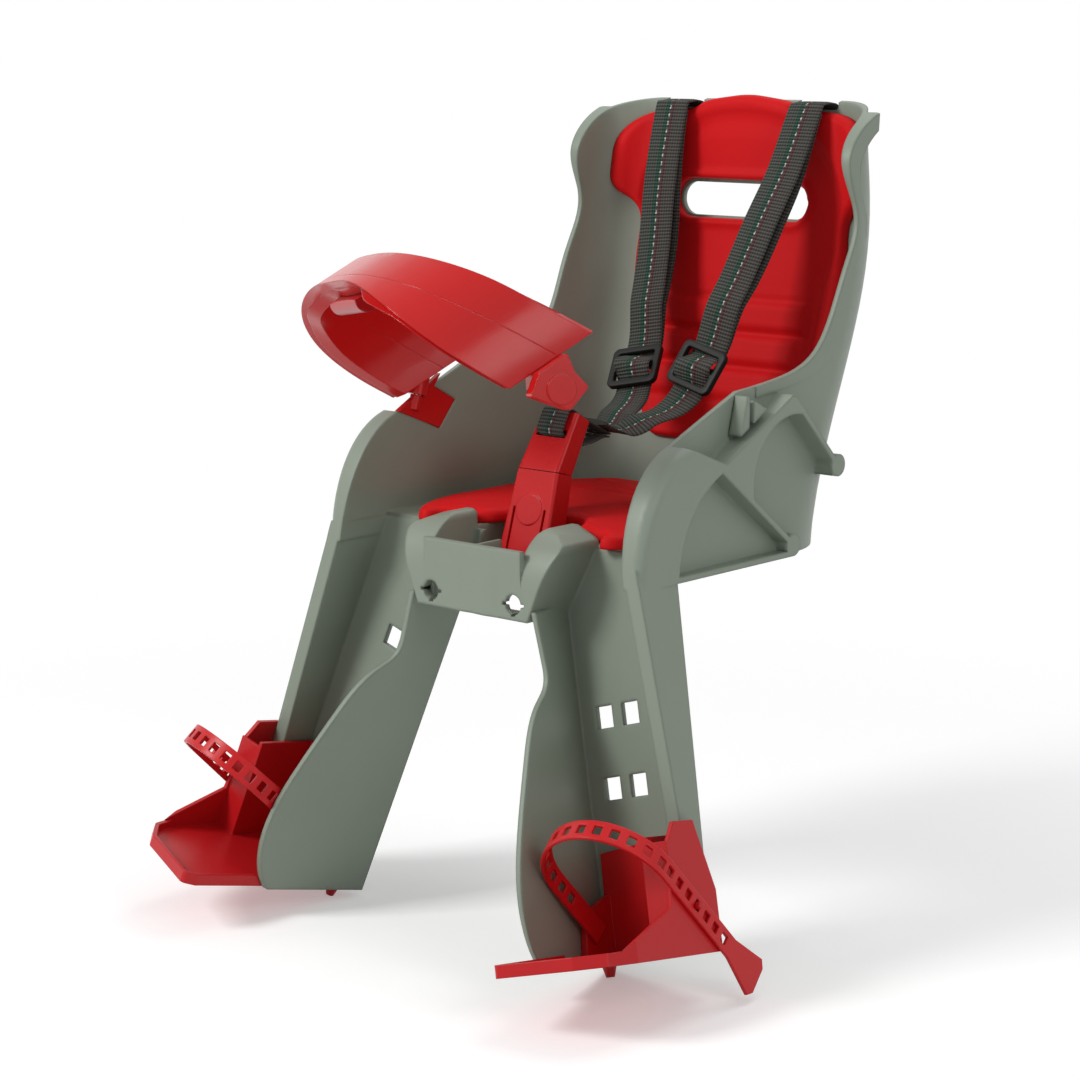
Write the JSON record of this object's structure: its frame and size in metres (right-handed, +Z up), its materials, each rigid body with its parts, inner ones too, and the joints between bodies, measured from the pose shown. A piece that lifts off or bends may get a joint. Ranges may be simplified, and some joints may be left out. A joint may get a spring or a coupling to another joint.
{
  "type": "child bike seat",
  "caption": "Front-mounted child bike seat: bucket with pads and shoulder harness, swing-open front bar, splayed leg channels with sliding foot trays and toe straps.",
  "frame": {"origin": "midway between the two bracket keyholes, on the front face of the crossbar", "axes": "+X to the child's left, -Y forward the way the child faces, +Z up"},
  "size_m": [0.4589, 0.4596, 0.572],
  "materials": {
    "shell_grey": "fine satin moulding",
    "pad_red": "matte moulded foam",
    "webbing": "ribbed polyester webbing",
    "black_plastic": "satin",
    "buckle_red": "semi-gloss",
    "bar_red": "gloss",
    "grip_red": "semi-gloss",
    "pin_steel": "bright",
    "foot_red": "satin moulding",
    "strap_red": "satin flexible"
  },
  "bodies": {
    "seat": {"seat_shell": "shell_grey", "back_pad": "pad_red", "seat_pad": "pad_red", "buckle_housing": "buckle_red", "buckle_tongue": "buckle_red", "harness_loop": "webbing", "harness_strap_left": "webbing", "harness_strap_right": "webbing", "strap_adjuster_left": "black_plastic", "strap_adjuster_right": "black_plastic", "strap_keeper_left": "black_plastic", "strap_keeper_right": "black_plastic", "bar_hinge_plate": "bar_red", "bar_hinge_pin": "pin_steel", "bar_latch_catch": "shell_grey"},
    "bar": {"bar_upper_shell": "bar_red", "bar_lower_shell": "bar_red", "bar_grip": "grip_red", "bar_latch_plug": "bar_red"},
    "foot_left": {"footrest_left": "foot_red", "foot_strap_left": "strap_red"},
    "foot_right": {"footrest_right": "foot_red", "foot_strap_right": "strap_red"}
  },
  "joints": [
    {"name": "bar_swing", "type": "hinge", "parent": "seat", "child": "bar", "pos_m": [-0.126, 0.078, 0.122], "axis": [0, 0.2756, 0.9613], "range_deg": [-45, 29]},
    {"name": "foot_left_slide", "type": "slide", "parent": "seat", "child": "foot_left", "axis": [-0.2914, 0.1603, 0.9431], "range_m": [0, 0.092]},
    {"name": "foot_right_slide", "type": "slide", "parent": "seat", "child": "foot_right", "axis": [0.2914, 0.1603, 0.9431], "range_m": [0, 0.092]}
  ]
}
